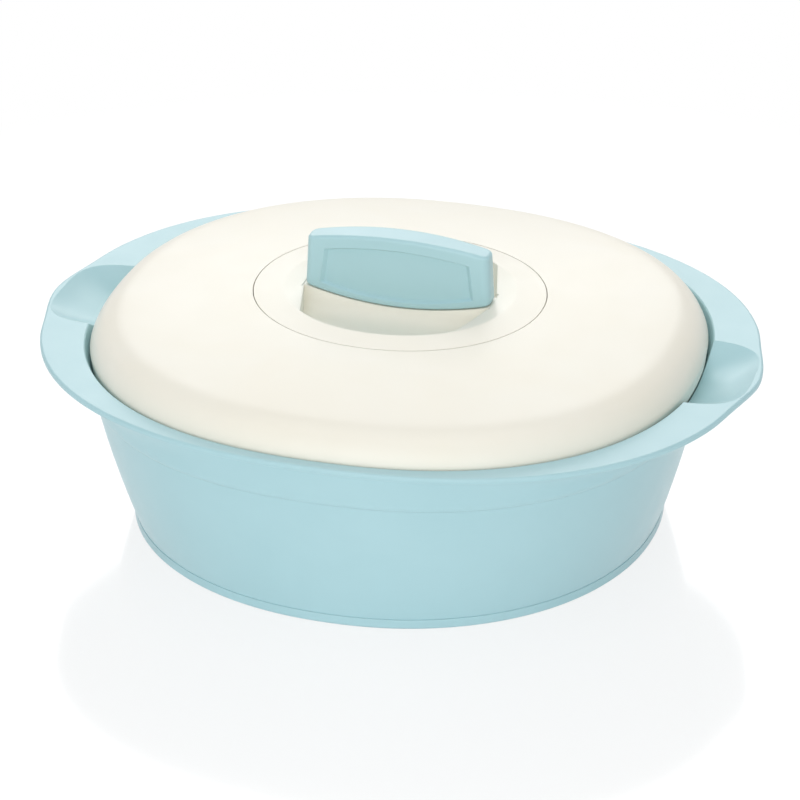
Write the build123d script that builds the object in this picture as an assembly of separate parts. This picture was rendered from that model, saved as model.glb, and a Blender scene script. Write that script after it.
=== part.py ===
from build123d import *
import math
import os

# Insulated serving casserole with a loose lid, in millimetres.
# The origin is the middle of the foot on the table, +X runs to an ear handle, -Y to the front, +Z up.
# Plan curves are ovals squared a little: a half length along X, a half width along Y and a power.

# Plan ovals
foot_power = 2.1
wall_power = 2.26
insert_power = 2.05
oval_points = 32
flange_points = 64

# Base plate with the foot ring
foot_half_x = 103.5
foot_half_y = 102.0
foot_height = 4.1
foot_edge = 0.8
foot_ring_width = 7.0
foot_recess = 1.6
upstand_height = 5.0
upstand_wall = 2.0

# Outer shell, from the foot crease to the seam below the rim
foot_inset = 0.2
seam_half_x = 116.0
seam_half_y = 112.0
seam_height = 55.7
shell_wall = 2.4
shell_bulge = 0.9

# Rim collar: neck, flange with ear handles, scoops, recess and ledge
rim_height = 72.5
seam_step = 0.9
seam_round = 1.8
neck_lean = 1.2
root_flare_x = 10.5
root_flare_y = 0.9
root_flare_power = 3
ear_half_x = 138.4
ear_swell = 3.2
ear_swell_half_width = 30.0
flange_half_y = 115.7
flange_thickness = 2.5
flange_edge_radius = 0.9
opening_half_x = 119.7
opening_half_y = 110.4
opening_edge = 0.5
recess_half_x = 115.4
recess_half_y = 109.4
ledge_height = 60.5
ledge_thickness = 2.2
tongue_depth = 5.0
tongue_wall = 1.8

# Thumb scoop in each ear: a basin open to the recess, its floor rising to the ear's outer lip
scoop_middle_x = 108.0
scoop_half_length = 31.0
scoop_half_width = 27.3
scoop_depth = 9.5
scoop_power = 3.6

# Food liner
liner_top_half_x = 107.2
liner_top_half_y = 101.0
liner_floor_half_x = 97.0
liner_floor_half_y = 94.0
liner_floor_height = 12.0
liner_corner = 14.0
liner_wall = 1.8
liner_flange = 1.6

# Lid shell
lid_half_x = 117.5
lid_half_y = 109.6
lid_wall = 2.2
skirt_inset = 2.2
skirt_tuck_power = 3
shoulder_inset = 8.2
shoulder_rise = 10.7
shoulder_bulge = 1.2
shoulder_round = 4.0
dome_bow = 0.65
insert_land = 0.6

# Lid liner
lid_liner_raise = 2.0
lid_liner_wall = 2.0
lid_liner_upstand = 7.0

# Handle base: round insert with a shallow dish, and a finger trough on each side of the web under the grip
insert_half_x = 56.4
insert_half_y = 51.3
insert_edge_height = 90.0
insert_wall = 2.2
crown_half_x = 45.4
crown_half_y = 41.9
crown_height = 91.4
crown_land = 0.9
dish_depth = 3.5
trough_floor_height = 80.5
trough_half_length = 38.3
trough_far_half_length = 27.5
trough_lean = 4.5
web_half_width = 4.6
web_foot_radius = 11.0
tongue_half_length = 16.0
tongue_half_width = 2.0
tongue_rise = 9.0

# Handle grip
grip_half_length = 37.1
grip_top_half_length = 35.7
grip_low_end_height = 90.3
grip_low_middle_height = 85.9
grip_top_end_height = 110.0
grip_top_middle_height = 113.8
grip_low_half_width = 6.8
grip_top_half_width = 5.6
grip_end_width_share = 0.74
grip_end_radius = 3.2
grip_edge_radius = 1.4
panel_side_margin = 6.2
panel_top_margin = 4.8
panel_low_margin = 3.0
panel_depth = 1.5
panel_end_draft = 1.8
panel_edge_draft = 0.9

# Handle screws
screw_half_spacing = 26.0
screw_diameter = 3.5
screw_bite = 8.0
screw_head_diameter = 7.0
screw_head_height = 2.2
screw_slot_width = 1.0
screw_slot_length = 4.0
screw_slot_depth = 1.2

# Clearances, and how far every cut runs past what it cuts
fit_gap = 0.3
foam_gap = 0.4
screw_gap = 0.25
overrun = 2.0

# Steps along the curved profiles
corner_steps = 6
seam_steps = 3
neck_steps = 8
basin_steps = 8
skirt_steps = 6
shoulder_steps = 5
round_steps = 4
dome_steps = 12
wall_steps = 6

seat_height = ledge_height + liner_flange
skirt_low = seat_height - 2 * overrun
flange_under = rim_height - flange_thickness
ledge_under = ledge_height - ledge_thickness
insert_floor = trough_floor_height - insert_wall
lid_floor_under = insert_floor - lid_wall
lid_liner_top = seat_height + lid_liner_raise + lid_liner_wall


def between(low, high, share):
    return low + (high - low) * share


def oval_outline(half_x, half_y, power, count):
    outline = []
    for step in range(count):
        angle = math.tau * step / count
        along = math.copysign(abs(math.cos(angle)) ** (2 / power), math.cos(angle))
        across = math.copysign(abs(math.sin(angle)) ** (2 / power), math.sin(angle))
        outline.append((half_x * along, half_y * across))
    return outline


def smooth_face(outline, height):
    points = [(x, y, height) for x, y in outline]
    return Face(Wire([Edge.make_spline(points, periodic=True)]))


def oval(half_x, half_y, height, power):
    return smooth_face(oval_outline(half_x, half_y, power, oval_points), height)


def stack(levels, ruled=True):
    # Each level is half length, half width, height and power.
    return loft([oval(*level) for level in levels], ruled=ruled)


def slab(half_x, half_y, low, high, power=wall_power):
    return stack([(half_x, half_y, low, power), (half_x, half_y, high, power)])


def basin(half_x, half_y, top, depth, power):
    # A hollow with a round bottom below a level mouth, run on a little above the mouth.
    levels = []
    for step in range(1, basin_steps + 2):
        share = step / basin_steps
        levels.append((half_x * share, half_y * share, top - depth * (1 - share**2), power))
    return stack(levels, ruled=False)


def outer_wall(height, inset=0):
    # Half lengths of the outer shell's face at a height, drawn in by an inset.
    share = (height - foot_height) / (seam_height - foot_height)
    swell = shell_bulge * 4 * share * (1 - share) - inset
    half_x = between(foot_half_x - foot_inset, seam_half_x, share) + swell
    half_y = between(foot_half_y - foot_inset, seam_half_y, share) + swell
    return half_x, half_y, height, between(foot_power, wall_power, share)


def make_base_plate():
    plate = stack(
        [
            (foot_half_x - foot_edge, foot_half_y - foot_edge, 0, foot_power),
            (foot_half_x, foot_half_y, foot_edge, foot_power),
            (foot_half_x, foot_half_y, foot_height, foot_power),
        ]
    )
    ring_x = foot_half_x - foot_ring_width
    ring_y = foot_half_y - foot_ring_width
    plate -= slab(ring_x, ring_y, -overrun, foot_recess, foot_power)
    half_x, half_y, height, power = outer_wall(foot_height, shell_wall + fit_gap)
    top = foot_height + upstand_height
    upstand = slab(half_x, half_y, foot_height, top, power)
    inner_x = half_x - upstand_wall
    inner_y = half_y - upstand_wall
    upstand -= slab(inner_x, inner_y, foot_height - overrun, top + overrun, power)
    return plate + upstand


def make_outer_shell():
    rise = seam_height - foot_height
    heights = [foot_height + rise * step / wall_steps for step in range(wall_steps + 1)]
    outer = stack([outer_wall(height) for height in heights], ruled=False)
    bore_heights = [foot_height - overrun] + heights + [seam_height + overrun]
    return outer - stack([outer_wall(height, shell_wall) for height in bore_heights], ruled=False)


def liner_half(height, inset=0):
    share = (height - liner_floor_height) / (ledge_height - liner_floor_height)
    half_x = between(liner_floor_half_x, liner_top_half_x, share) - inset
    half_y = between(liner_floor_half_y, liner_top_half_y, share) - inset
    return half_x, half_y, height, between(foot_power, wall_power, share)


def liner_form(inset, top):
    # The liner's outer form drawn in by an inset, with its rounded bottom corner, up to a height.
    radius = liner_corner - inset
    levels = []
    for step in range(corner_steps + 1):
        angle = math.pi / 2 * step / corner_steps
        height = liner_floor_height + inset + radius * (1 - math.cos(angle))
        levels.append(liner_half(height, inset + radius * (1 - math.sin(angle))))
    start = levels[-1][2]
    for step in range(1, wall_steps + 1):
        levels.append(liner_half(between(start, top, step / wall_steps), inset))
    return stack(levels, ruled=False)


def make_food_liner():
    flange = slab(recess_half_x - fit_gap, recess_half_y - fit_gap, ledge_height, seat_height)
    return liner_form(0, ledge_height) + flange - liner_form(liner_wall, seat_height + overrun)


def make_bowl_insulation():
    low = foot_height + foam_gap
    high = seam_height - tongue_depth - foam_gap
    base = outer_wall(foot_height, shell_wall + fit_gap + upstand_wall + foam_gap)
    top = outer_wall(high, shell_wall + foam_gap)
    clear = foot_height + upstand_height + foam_gap
    foam = stack([(base[0], base[1], low, base[3]), (base[0], base[1], clear, base[3]), top])
    return foam - liner_form(-foam_gap, high + overrun)


def scoop_basin(grow):
    # The basin over one ear, with its middle inside the opening. Grow thickens it.
    half_x = scoop_half_length + grow
    half_y = scoop_half_width + grow
    return Pos(scoop_middle_x, 0, 0) * basin(half_x, half_y, rim_height, scoop_depth + grow, scoop_power)


def flange_face(height):
    # The flange's outline, swelled a little at the end of each ear.
    outline = []
    for x, y in oval_outline(ear_half_x, flange_half_y, wall_power, flange_points):
        share = min(abs(y) / ear_swell_half_width, 1)
        swell = ear_swell * math.cos(math.pi / 2 * share) ** 2
        outline.append((x + math.copysign(swell, x), y))
    return smooth_face(outline, height)


def neck_half(height):
    # The neck turns out at the seam, leans out a little and flares into the flange, most below the ears.
    seam_x, seam_y, low, power = outer_wall(seam_height)
    share = (height - low) / (flange_under - low)
    turn = min((height - low) / seam_round, 1)
    reach = seam_step * math.sin(math.pi / 2 * turn) + neck_lean * share
    flare = share**root_flare_power
    return seam_x + reach + root_flare_x * flare, seam_y + reach + root_flare_y * flare, height, power


def make_rim_collar():
    turned = seam_height + seam_round
    heights = [between(seam_height, turned, step / seam_steps) for step in range(seam_steps)]
    heights += [between(turned, flange_under, step / neck_steps) for step in range(neck_steps + 1)]
    neck = stack([neck_half(height) for height in heights], ruled=False)
    flange = loft([flange_face(flange_under), flange_face(rim_height)], ruled=True)
    rims = flange.edges().filter_by(lambda edge: edge.bounding_box().size.Z < flange_thickness / 2)
    flange = fillet(rims, flange_edge_radius)
    pad_low = rim_height - scoop_depth - flange_thickness
    pad = scoop_basin(flange_thickness)
    pad &= slab(ear_half_x + ear_swell, flange_half_y, pad_low - overrun, flange_under)
    scoop = scoop_basin(0)
    tongue_low = outer_wall(seam_height - tongue_depth, shell_wall + fit_gap)
    tongue_x, tongue_y, height, power = outer_wall(seam_height, shell_wall + fit_gap)
    tongue = stack(
        [tongue_low, (tongue_x, tongue_y, seam_height, power), (tongue_x, tongue_y, ledge_under, power)]
    )
    inner = tongue_wall
    bore = stack(
        [
            (tongue_low[0] - inner, tongue_low[1] - inner, tongue_low[2] - overrun, tongue_low[3]),
            (tongue_low[0] - inner, tongue_low[1] - inner, tongue_low[2], tongue_low[3]),
            (tongue_x - inner, tongue_y - inner, seam_height, power),
            (tongue_x - inner, tongue_y - inner, ledge_under, power),
        ]
    )
    recess = stack(
        [
            (recess_half_x, recess_half_y, ledge_height, wall_power),
            (opening_half_x, opening_half_y, rim_height - opening_edge, wall_power),
            (opening_half_x + opening_edge, opening_half_y + opening_edge, rim_height, wall_power),
            (opening_half_x + opening_edge, opening_half_y + opening_edge, rim_height + overrun, wall_power),
        ]
    )
    seat_x, seat_y, height, power = liner_half(ledge_height, -fit_gap)
    seat_hole = slab(seat_x, seat_y, ledge_under - overrun, ledge_height + overrun, power)
    collar = neck + flange + pad + mirror(pad, about=Plane.YZ) + tongue
    collar = collar - bore - recess - seat_hole
    return collar - scoop - mirror(scoop, about=Plane.YZ)


def bowed(start, end, bow, share):
    # A point along a straight line from start to end that is bowed to its left.
    run = end[0] - start[0]
    rise = end[1] - start[1]
    reach = bow * 4 * share * (1 - share) / math.hypot(run, rise)
    return between(start[0], end[0], share) - rise * reach, between(start[1], end[1], share) + run * reach


def skirt_tuck(height):
    # How far the skirt is drawn in below the rim, most of all near its foot.
    share = max(rim_height - height, 0) / (rim_height - seat_height)
    return skirt_inset * share**skirt_tuck_power


def lid_profile():
    # Inset from the lid's widest oval, and height, from below the skirt's foot to the insert's edge.
    profile = []
    for step in range(skirt_steps):
        height = between(skirt_low, rim_height, step / skirt_steps)
        profile.append((skirt_tuck(height), height))
    foot = (0, rim_height)
    corner = (shoulder_inset, rim_height + shoulder_rise)
    end = (lid_half_x - insert_half_x - fit_gap - insert_land, insert_edge_height)
    band_end = 1 - shoulder_round / math.dist(foot, corner)
    dome_start = shoulder_round / math.dist(corner, end)
    for step in range(shoulder_steps + 1):
        profile.append(bowed(foot, corner, shoulder_bulge, band_end * step / shoulder_steps))
    before = profile[-1]
    after = bowed(corner, end, dome_bow, dome_start)
    for step in range(1, round_steps):
        share = step / round_steps
        near = [between(before[axis], corner[axis], share) for axis in (0, 1)]
        far = [between(corner[axis], after[axis], share) for axis in (0, 1)]
        profile.append((between(near[0], far[0], share), between(near[1], far[1], share)))
    for step in range(dome_steps + 1):
        profile.append(bowed(corner, end, dome_bow, between(dome_start, 1, step / dome_steps)))
    return profile


def lid_form(depth):
    # The lid's outer form set inwards by a depth. It runs on below the seat, for the cuts.
    profile = lid_profile()
    ratio = (lid_half_y - insert_half_y) / (lid_half_x - insert_half_x)
    moved = []
    for index, (inset, height) in enumerate(profile):
        before = profile[max(index - 1, 0)]
        after = profile[min(index + 1, len(profile) - 1)]
        run = after[0] - before[0]
        rise = after[1] - before[1]
        span = math.hypot(run, rise)
        moved.append((inset + depth * rise / span, height - depth * run / span))
    levels = []
    for inset, height in moved:
        share = inset / (lid_half_x - insert_half_x)
        power = between(wall_power, insert_power, max(share, 0))
        levels.append((lid_half_x - inset, lid_half_y - inset * ratio, height, power))
    return stack(levels, ruled=False)


def screw_holes(diameter, low, high):
    hole = Pos(screw_half_spacing, 0, low) * Cylinder(
        diameter / 2, high - low, align=(Align.CENTER, Align.CENTER, Align.MIN)
    )
    return hole + mirror(hole, about=Plane.YZ)


def insert_pocket(grow, low, high):
    return slab(insert_half_x + grow, insert_half_y + grow, low, high, insert_power)


def make_lid_shell():
    shell = lid_form(0) - slab(lid_half_x, lid_half_y, skirt_low - overrun, seat_height)
    shell -= lid_form(lid_wall)
    cup_grow = fit_gap + lid_wall
    shell += insert_pocket(cup_grow, lid_floor_under, insert_edge_height - lid_wall / 2)
    shell -= insert_pocket(fit_gap, insert_floor, insert_edge_height + overrun)
    hole_diameter = screw_diameter + 2 * screw_gap
    return shell - screw_holes(hole_diameter, lid_floor_under - overrun, insert_floor + overrun)


def skirt_half(height, inset):
    ratio = (lid_half_y - insert_half_y) / (lid_half_x - insert_half_x)
    drawn = skirt_tuck(height) + inset
    return lid_half_x - drawn, lid_half_y - drawn * ratio, height, wall_power


def make_lid_liner():
    low = seat_height + lid_liner_raise
    high = lid_liner_top + lid_liner_upstand
    cover = stack([skirt_half(low, lid_wall + 2 * fit_gap), skirt_half(high, lid_wall + 2 * fit_gap)])
    inner = lid_wall + 2 * fit_gap + lid_liner_wall
    return cover - stack([skirt_half(lid_liner_top, inner), skirt_half(high + overrun, inner)])


def make_lid_insulation():
    low = lid_liner_top + foam_gap
    foam = lid_form(lid_wall + foam_gap)
    rim = skirt_half(low, lid_wall + 2 * fit_gap + lid_liner_wall + foam_gap)
    block = slab(rim[0], rim[1], low, insert_edge_height, rim[3])
    foam &= block
    cup_grow = fit_gap + lid_wall + foam_gap
    foam -= insert_pocket(cup_grow, lid_floor_under - foam_gap, insert_edge_height + overrun)
    head_low = lid_floor_under - screw_head_height - foam_gap
    return foam - screw_holes(screw_head_diameter + 2 * foam_gap, head_low, lid_floor_under + overrun)


def arched_face(half_low, half_top, low_end, low_middle, top_end, top_middle):
    # An outline with a bowed lower edge and an arched upper edge.
    lower = ThreePointArc((-half_low, low_end), (0, low_middle), (half_low, low_end))
    upper = ThreePointArc((half_top, top_end), (0, top_middle), (-half_top, top_end))
    right = Line((half_low, low_end), (half_top, top_end))
    left = Line((-half_top, top_end), (-half_low, low_end))
    return make_face([lower, right, upper, left])


def grip_side(side_margin, low_margin, top_margin):
    # The grip's outline from the front with a margin inside each edge. A margin below zero runs past it.
    half_low = grip_half_length - side_margin
    half_top = grip_top_half_length - side_margin
    low_rise = (grip_low_end_height - grip_low_middle_height) * (half_low / grip_half_length) ** 2
    top_fall = (grip_top_middle_height - grip_top_end_height) * (half_top / grip_top_half_length) ** 2
    low = grip_low_middle_height + low_margin
    top = grip_top_middle_height - top_margin
    return arched_face(half_low, half_top, low + low_rise, low, top - top_fall, top)


def make_handle_base():
    base = stack(
        [
            (insert_half_x, insert_half_y, insert_floor, insert_power),
            (insert_half_x, insert_half_y, insert_edge_height, insert_power),
            (crown_half_x, crown_half_y, crown_height, insert_power),
        ]
    )
    # The shallow dish, and the trough on each side of the web, which narrows away from it.
    mouth_x = crown_half_x - crown_land
    mouth_y = crown_half_y - crown_land
    base -= basin(mouth_x, mouth_y, crown_height, dish_depth, insert_power)
    cut_top = crown_height + overrun
    corner = (web_half_width, trough_floor_height)
    path = Polyline(
        (web_half_width, cut_top),
        corner,
        (crown_half_y, trough_floor_height),
        (crown_half_y, cut_top),
        close=True,
    )
    section = make_face(path)
    section = fillet(section.vertices().sort_by_distance(corner)[0], web_foot_radius)
    trough = extrude(Plane.YZ * section, crown_half_x, both=True)
    plan = Polyline(
        (-trough_half_length, 0),
        (trough_half_length, 0),
        (trough_far_half_length, crown_half_y),
        (-trough_far_half_length, crown_half_y),
        close=True,
    )
    low = trough_floor_height - overrun
    trough &= Pos(0, 0, low) * extrude(make_face(plan), cut_top - low)
    trough &= stack(
        [
            (mouth_x - trough_lean, mouth_y - trough_lean, low, insert_power),
            (mouth_x, mouth_y, crown_height, insert_power),
            (mouth_x, mouth_y, cut_top, insert_power),
        ]
    )
    base -= trough + mirror(trough, about=Plane.XZ)
    # The saddle that the grip sits in, and the tongue that locates it.
    saddle = extrude(Plane.XZ * grip_side(-fit_gap, -fit_gap, 0), grip_low_half_width + fit_gap, both=True)
    base -= saddle
    base += Pos(0, 0, trough_floor_height) * Box(
        2 * tongue_half_length,
        2 * tongue_half_width,
        grip_low_middle_height + tongue_rise - trough_floor_height,
        align=(Align.CENTER, Align.CENTER, Align.MIN),
    )
    # The underside is hollowed out below the sloping ring.
    hollow_top = insert_edge_height - insert_wall
    hollow = insert_pocket(-insert_wall, insert_floor - overrun, hollow_top)
    core_x = crown_half_x + insert_wall
    core_y = crown_half_y + insert_wall
    hollow -= slab(core_x, core_y, insert_floor - 2 * overrun, hollow_top + overrun, insert_power)
    base -= hollow
    return base - screw_holes(screw_diameter + 2 * screw_gap, insert_floor - overrun, cut_top)


def grip_plan(half_length, half_width, height):
    end_width = half_width * grip_end_width_share
    front = ThreePointArc((-half_length, -end_width), (0, -half_width), (half_length, -end_width))
    back = ThreePointArc((half_length, end_width), (0, half_width), (-half_length, end_width))
    right = Line((half_length, -end_width), (half_length, end_width))
    left = Line((-half_length, end_width), (-half_length, -end_width))
    face = make_face([front, right, back, left])
    return Pos(0, 0, height) * fillet(face.vertices(), grip_end_radius)


def grip_form(inset):
    # The grip's upright faces with their rounded ends, drawn in by an inset and run past its top and bottom.
    low = grip_low_middle_height - overrun
    top = grip_top_middle_height + overrun
    return loft(
        [
            grip_plan(grip_half_length - inset, grip_low_half_width - inset, low),
            grip_plan(grip_top_half_length - inset, grip_top_half_width - inset, top),
        ],
        ruled=True,
    )


def panel_face(reach):
    # The sunk panel's outline on a plane in front of the grip's middle. Its walls slope in to its floor.
    share = (reach - grip_top_half_width) / panel_depth
    side_margin = panel_side_margin - panel_end_draft * share
    edge_draft = panel_edge_draft * share
    outline = grip_side(side_margin, panel_low_margin - edge_draft, panel_top_margin - edge_draft)
    return Plane.XZ.offset(reach) * outline


def make_handle_grip():
    reach = grip_low_half_width + overrun
    side = grip_side(-overrun, 0, 0)
    grip = grip_form(0) & extrude(Plane.XZ * side, reach, both=True)
    side_height = grip_top_end_height - grip_low_end_height
    rims = grip.edges().filter_by(lambda edge: edge.bounding_box().size.Z < side_height / 2)
    grip = fillet(rims, grip_edge_radius)
    inner = grip_top_half_width - 2 * panel_depth
    sunk = loft([panel_face(inner), panel_face(reach)], ruled=True) - grip_form(panel_depth)
    grip -= sunk + mirror(sunk, about=Plane.XZ)
    slot_top = grip_low_middle_height + tongue_rise + fit_gap
    grip -= Pos(0, 0, slot_top) * Box(
        2 * (tongue_half_length + fit_gap),
        2 * (tongue_half_width + fit_gap),
        slot_top - trough_floor_height,
        align=(Align.CENTER, Align.CENTER, Align.MAX),
    )
    pilot_top = grip_low_end_height + screw_bite + screw_gap
    return grip - screw_holes(screw_diameter + 2 * screw_gap, trough_floor_height, pilot_top)


def make_handle_screws():
    head_low = lid_floor_under - screw_head_height
    screws = screw_holes(screw_diameter, lid_floor_under, grip_low_end_height + screw_bite)
    screws += screw_holes(screw_head_diameter, head_low, lid_floor_under)
    for length, width in ((screw_slot_length, screw_slot_width), (screw_slot_width, screw_slot_length)):
        slot = Box(length, width, screw_slot_depth, align=(Align.CENTER, Align.CENTER, Align.MIN))
        slot = Pos(screw_half_spacing, 0, head_low) * slot
        screws -= slot + mirror(slot, about=Plane.YZ)
    return screws


pieces = {
    "base_plate": make_base_plate(),
    "outer_shell": make_outer_shell(),
    "bowl_insulation": make_bowl_insulation(),
    "food_liner": make_food_liner(),
    "rim_collar": make_rim_collar(),
    "lid_shell": make_lid_shell(),
    "lid_liner": make_lid_liner(),
    "lid_insulation": make_lid_insulation(),
    "handle_base": make_handle_base(),
    "handle_grip": make_handle_grip(),
    "handle_screws": make_handle_screws(),
}

os.makedirs("parts", exist_ok=True)
for name, piece in pieces.items():
    export_step(piece, f"parts/{name}.step")
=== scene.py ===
import math

import bpy
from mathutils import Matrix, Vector

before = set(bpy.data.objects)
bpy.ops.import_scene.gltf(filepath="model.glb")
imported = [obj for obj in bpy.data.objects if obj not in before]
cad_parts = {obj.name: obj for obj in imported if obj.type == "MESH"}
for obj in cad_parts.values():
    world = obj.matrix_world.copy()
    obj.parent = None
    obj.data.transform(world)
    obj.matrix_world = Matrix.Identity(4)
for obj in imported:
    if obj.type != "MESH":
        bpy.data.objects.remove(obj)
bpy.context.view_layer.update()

# Base plate.
# The foot ring and the floor behind it, one injection moulding in light blue polypropylene.
# Its upstand plugs into the outer shell, where the two are welded all round.

MM = 0.001


def linear(hex_colour):
    channels = [int(hex_colour[place:place + 2], 16) / 255 for place in (1, 3, 5)]
    return [c / 12.92 if c <= 0.04045 else ((c + 0.055) / 1.055) ** 2.4 for c in channels] + [1.0]


def add_node(tree, kind, settings=None, links=None):
    node = tree.nodes.new(kind)
    for name, value in (settings or {}).items():
        if isinstance(name, int) or name in node.inputs:
            node.inputs[name].default_value = value
        else:
            setattr(node, name, value)
    for name, socket in (links or {}).items():
        tree.links.new(socket, node.inputs[name])
    return node


def moulded_polypropylene(name, colour, deep_colour, roughness, peel_depth):
    # Satin moulded polypropylene: even pigment with faint flow marks, a soft sheen that varies a little
    # over the surface, the slight ripple of a polished mould, and edges that are never quite sharp.
    flow_size = 45 * MM
    flow_swirl = 0.6
    sheen_size = 9 * MM
    sheen_spread = 0.03
    peel_size = 1.6 * MM
    edge_radius = 0.35 * MM
    refraction = 1.49
    noise_low = 0.3
    noise_high = 0.7
    material = bpy.data.materials.new(name)
    material.use_nodes = True
    tree = material.node_tree
    tree.nodes.clear()
    place = add_node(tree, "ShaderNodeTexCoord").outputs["Object"]
    flow = add_node(
        tree,
        "ShaderNodeTexNoise",
        {"Scale": 1 / flow_size, "Detail": 3.0, "Distortion": flow_swirl},
        {"Vector": place},
    )
    pigment = add_node(tree, "ShaderNodeValToRGB", {}, {"Fac": flow.outputs["Fac"]})
    deep, plain = pigment.color_ramp.elements
    deep.position = noise_low
    deep.color = linear(deep_colour)
    plain.position = noise_high
    plain.color = linear(colour)
    sheen = add_node(tree, "ShaderNodeTexNoise", {"Scale": 1 / sheen_size, "Detail": 4.0}, {"Vector": place})
    gloss = add_node(
        tree,
        "ShaderNodeMapRange",
        {
            "From Min": noise_low,
            "From Max": noise_high,
            "To Min": roughness - sheen_spread,
            "To Max": roughness + sheen_spread,
        },
        {"Value": sheen.outputs["Fac"]},
    )
    peel = add_node(tree, "ShaderNodeTexNoise", {"Scale": 1 / peel_size, "Detail": 2.0}, {"Vector": place})
    edge = add_node(tree, "ShaderNodeBevel", {"Radius": edge_radius, "samples": 6})
    ripple = add_node(
        tree,
        "ShaderNodeBump",
        {"Strength": 1.0, "Distance": peel_depth},
        {"Height": peel.outputs["Fac"], "Normal": edge.outputs["Normal"]},
    )
    shader = add_node(
        tree,
        "ShaderNodeBsdfPrincipled",
        {"IOR": refraction},
        {
            "Base Color": pigment.outputs["Color"],
            "Roughness": gloss.outputs["Result"],
            "Normal": ripple.outputs["Normal"],
        },
    )
    add_node(tree, "ShaderNodeOutputMaterial", {}, {"Surface": shader.outputs["BSDF"]})
    return material


def dress(node, material):
    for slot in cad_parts[node].material_slots:
        slot.material = material


blue_plastic = moulded_polypropylene(
    "polypropylene_satin_blue", "#B2D8DF", "#AED5DC", roughness=0.31, peel_depth=0.006 * MM
)
dress("base_plate", blue_plastic)

# Outer shell.
# The flaring wall of the bowl, moulded in the same blue plastic from a polished cavity.
# It stands on the base plate and takes the rim collar's tongue at its top.

dress("outer_shell", blue_plastic)

# Bowl insulation.
# Rigid polyurethane foam, poured in as a liquid between food liner and outer shell.
# It swells, sets hard, and is sealed in once the base plate is welded on.


def poured_foam(name, colour, deep_colour):
    # Rigid polyurethane foam: matt and pale yellow, with small closed cells whose pits are darkened by
    # painted shade.
    # Real cells are too fine to show, so they are drawn a few times coarser.
    cell_size = 1.2 * MM
    pit_depth = 0.3 * MM
    pit_strength = 0.6
    matt_roughness = 0.9
    material = bpy.data.materials.new(name)
    material.use_nodes = True
    tree = material.node_tree
    tree.nodes.clear()
    place = add_node(tree, "ShaderNodeTexCoord").outputs["Object"]
    cells = add_node(tree, "ShaderNodeTexVoronoi", {"Scale": 1 / cell_size}, {"Vector": place})
    shade = add_node(tree, "ShaderNodeValToRGB", {}, {"Fac": cells.outputs["Distance"]})
    # The darker pit colour is painted shade, darker towards the bottom of each pit.
    painted_pit_shade, skin = shade.color_ramp.elements
    painted_pit_shade.color = linear(deep_colour)
    skin.color = linear(colour)
    pits = add_node(
        tree,
        "ShaderNodeBump",
        {"Strength": pit_strength, "Distance": pit_depth},
        {"Height": cells.outputs["Distance"]},
    )
    shader = add_node(
        tree,
        "ShaderNodeBsdfPrincipled",
        {"Roughness": matt_roughness},
        {"Base Color": shade.outputs["Color"], "Normal": pits.outputs["Normal"]},
    )
    add_node(tree, "ShaderNodeOutputMaterial", {}, {"Surface": shader.outputs["BSDF"]})
    return material


# The second colour is the painted shade at the bottom of the foam's pits.
foam = poured_foam("polyurethane_rigid_foam", "#EADFB4", "#CFC08C")
dress("bowl_insulation", foam)

# Food liner.
# The inner bowl that holds the food, moulded in off-white polypropylene with a smoother polish.
# Its flange lies on the collar's ledge and carries the lid.

liner_plastic = moulded_polypropylene(
    "polypropylene_polished_white", "#F4F1E8", "#F1EEE4", roughness=0.32, peel_depth=0.001 * MM
)
dress("food_liner", liner_plastic)

# Rim collar.
# The upper band with the flange, the ears and their thumb scoops, moulded in blue plastic.
# Its tongue plugs into the top of the outer shell, which leaves the fine line below the rim.

dress("rim_collar", blue_plastic)

# Lid shell.
# The domed lid with its rounded shoulder and skirt, injection moulded in cream polypropylene.
# The cup that takes the handle base is part of the same moulding.

cream_plastic = moulded_polypropylene(
    "polypropylene_satin_cream", "#F8F5E9", "#F7F3E5", roughness=0.34, peel_depth=0.002 * MM
)
dress("lid_shell", cream_plastic)

# Lid liner and lid insulation.
# The off-white moulded cover that closes the lid from below, and the rigid foam behind it.
# The cover's upstand plugs into the lid's skirt, so the foam is sealed in.

dress("lid_liner", liner_plastic)
dress("lid_insulation", foam)

# Handle base.
# The round cream insert, moulded with a shallow dish and a finger trough on each side of a web.
# It drops into the lid's cup, and the saddle on its web carries the grip.

dress("handle_base", cream_plastic)

# Handle grip.
# The bar that is held to lift the lid, moulded in blue plastic with a sunk panel on each long face.
# A tongue on the web locates it, and two screws from below pull it down into the saddle.

dress("handle_grip", blue_plastic)

# Handle screws.
# Two cross-slotted steel screws, cold-headed and zinc plated.
# They run from inside the lid, up through the handle base, and cut their threads in the grip.


def zinc_plated_steel(name, colour):
    # Bright zinc over rolled steel: a soft metal shine with a fine cloudy grain.
    grain_size = 0.8 * MM
    bright_roughness = 0.3
    cloudy_roughness = 0.45
    material = bpy.data.materials.new(name)
    material.use_nodes = True
    tree = material.node_tree
    tree.nodes.clear()
    place = add_node(tree, "ShaderNodeTexCoord").outputs["Object"]
    grain = add_node(tree, "ShaderNodeTexNoise", {"Scale": 1 / grain_size, "Detail": 3.0}, {"Vector": place})
    gloss = add_node(
        tree,
        "ShaderNodeMapRange",
        {"To Min": bright_roughness, "To Max": cloudy_roughness},
        {"Value": grain.outputs["Fac"]},
    )
    shader = add_node(
        tree,
        "ShaderNodeBsdfPrincipled",
        {"Base Color": linear(colour), "Metallic": 1.0},
        {"Roughness": gloss.outputs["Result"]},
    )
    add_node(tree, "ShaderNodeOutputMaterial", {}, {"Surface": shader.outputs["BSDF"]})
    return material


dress("handle_screws", zinc_plated_steel("steel_zinc_plated", "#C9CCD0"))

# Floor.
# A plain white laminate table under the bowl, seen as white as the room behind it.
# Close to the bowl it keeps the soft shadow and a faint blurred reflection, which fade further out.

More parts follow.
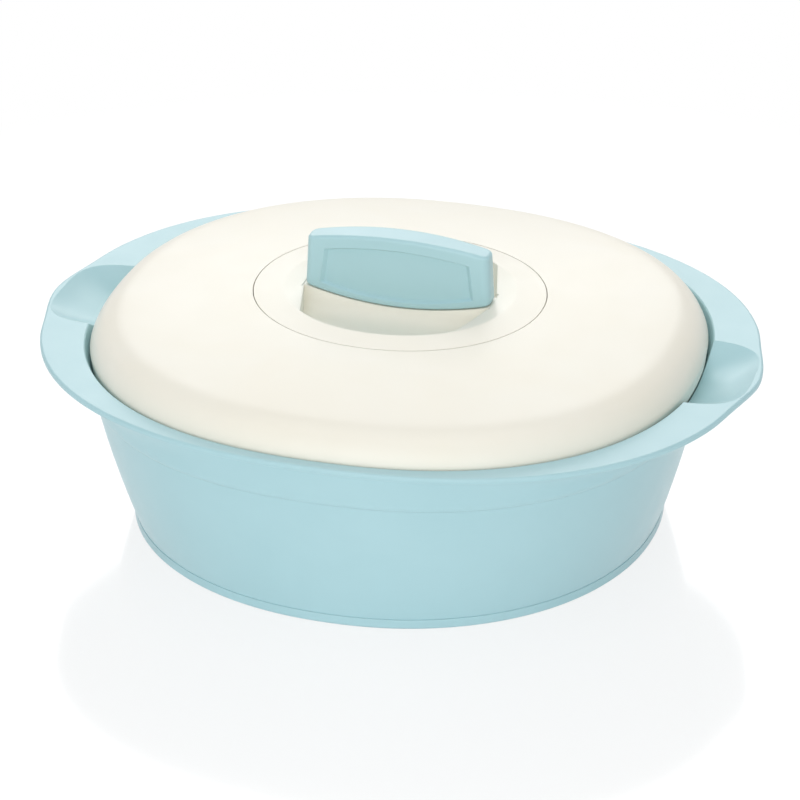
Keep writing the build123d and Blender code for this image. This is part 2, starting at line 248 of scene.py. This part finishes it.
floor_half = 4.0
floor_corners = [(x * floor_half, y * floor_half, 0) for x, y in ((-1, -1), (1, -1), (1, 1), (-1, 1))]
floor_mesh = bpy.data.meshes.new("studio_floor")
floor_mesh.from_pydata(floor_corners, [], [(0, 1, 2, 3)])
floor = bpy.data.objects.new("studio_floor", floor_mesh)
bpy.context.scene.collection.objects.link(floor)


def seen_directly(tree):
    # One for rays from the camera, a mirror or a glass, and zero for the light that falls on things.
    rays = add_node(tree, "ShaderNodeLightPath")
    seen = add_node(
        tree,
        "ShaderNodeMath",
        {"operation": "MAXIMUM"},
        {0: rays.outputs["Is Camera Ray"], 1: rays.outputs["Is Glossy Ray"]},
    )
    seen = add_node(
        tree,
        "ShaderNodeMath",
        {"operation": "MAXIMUM"},
        {0: seen.outputs["Value"], 1: rays.outputs["Is Transmission Ray"]},
    )
    return seen.outputs["Value"]


# White melamine laminate: a matt print under a thin clear coat that mirrors softly.
coat_roughness = 0.12
coat_share = 0.4
shadow_reach = 100 * MM
shadow_end = 420 * MM
white_at_bowl = 0.8
white_far_out = 1.0
white_table = bpy.data.materials.new("melamine_laminate_white")
white_table.use_nodes = True
table_tree = white_table.node_tree
table_tree.nodes.clear()
matt = add_node(table_tree, "ShaderNodeBsdfDiffuse", {"Color": linear("#F2F2F2")})
coat = add_node(
    table_tree, "ShaderNodeBsdfGlossy", {"Color": linear("#FFFFFF"), "Roughness": coat_roughness}
)
laminate = add_node(
    table_tree, "ShaderNodeMixShader", {0: coat_share}, {1: matt.outputs["BSDF"], 2: coat.outputs["BSDF"]}
)
floor_place = add_node(table_tree, "ShaderNodeTexCoord").outputs["Object"]
distance = add_node(table_tree, "ShaderNodeVectorMath", {"operation": "LENGTH"}, {0: floor_place})
white = add_node(
    table_tree,
    "ShaderNodeMapRange",
    {"From Min": shadow_reach, "From Max": shadow_end, "To Min": white_at_bowl, "To Max": white_far_out},
    {"Value": distance.outputs["Value"]},
)
share = add_node(
    table_tree,
    "ShaderNodeMath",
    {"operation": "MULTIPLY"},
    {0: seen_directly(table_tree), 1: white.outputs["Result"]},
)
glow = add_node(table_tree, "ShaderNodeEmission", {"Color": linear("#FFFFFF"), "Strength": 1.0})
table = add_node(
    table_tree,
    "ShaderNodeMixShader",
    {},
    {0: share.outputs["Value"], 1: laminate.outputs["Shader"], 2: glow.outputs["Emission"]},
)
add_node(table_tree, "ShaderNodeOutputMaterial", {}, {"Surface": table.outputs["Shader"]})
floor_mesh.materials.append(white_table)

# Light.
# A panel behind the table, opposite the camera, lays a soft sheen on the upper faces.
# A panel overhead and a low wide box in front light the lid and the walls, in an evenly white room.

object_middle = (0, 0, 0.06)


def softbox(name, place, width, height, watts):
    lamp = bpy.data.lights.new(name, "AREA")
    lamp.shape = "RECTANGLE"
    lamp.size = width
    lamp.size_y = height
    lamp.energy = watts
    box = bpy.data.objects.new(name, lamp)
    box.location = place
    beam = Vector(object_middle) - Vector(place)
    box.rotation_euler = beam.to_track_quat("-Z", "Y").to_euler()
    box.visible_camera = False
    bpy.context.scene.collection.objects.link(box)


softbox("back_panel", place=(-0.44, 1.55, 1.15), width=1.3, height=1.5, watts=12.5)
softbox("overhead_panel", place=(0, -0.3, 2.0), width=1.8, height=1.8, watts=9.0)
softbox("front_box", place=(0.3, -2.0, 0.7), width=2.6, height=1.2, watts=18.0)

room_light = 0.42
room_as_seen = 1.0
world = bpy.data.worlds.new("white_room")
bpy.context.scene.world = world
world.use_nodes = True
room_tree = world.node_tree
room_tree.nodes.clear()
level = add_node(
    room_tree,
    "ShaderNodeMapRange",
    {"To Min": room_light, "To Max": room_as_seen},
    {"Value": seen_directly(room_tree)},
)
room = add_node(
    room_tree, "ShaderNodeBackground", {"Color": linear("#FFFFFF")}, {"Strength": level.outputs["Result"]}
)
add_node(room_tree, "ShaderNodeOutputWorld", {}, {"Surface": room.outputs["Background"]})

# Camera.
# A long lens from the front right, some way above the lid, as the picture of the object was taken.
# The place and the focal length come from fitting the foot, the flange and the lid to their outlines.

picture_width = 800
sensor_width = 36.0
focal_pixels = 3798
camera_turn = math.radians(16.5)
camera_out = 1.3154
camera_height = 0.7147
aim_height = 0.043

lens = bpy.data.cameras.new("photo_camera")
lens.sensor_width = sensor_width
lens.lens = sensor_width * focal_pixels / picture_width
camera = bpy.data.objects.new("photo_camera", lens)
camera.location = (camera_out * math.sin(camera_turn), -camera_out * math.cos(camera_turn), camera_height)
look = Vector((0, 0, aim_height)) - camera.location
camera.rotation_euler = look.to_track_quat("-Z", "Y").to_euler()
bpy.context.scene.collection.objects.link(camera)
bpy.context.scene.camera = camera
bpy.context.scene.view_settings.view_transform = "Standard"
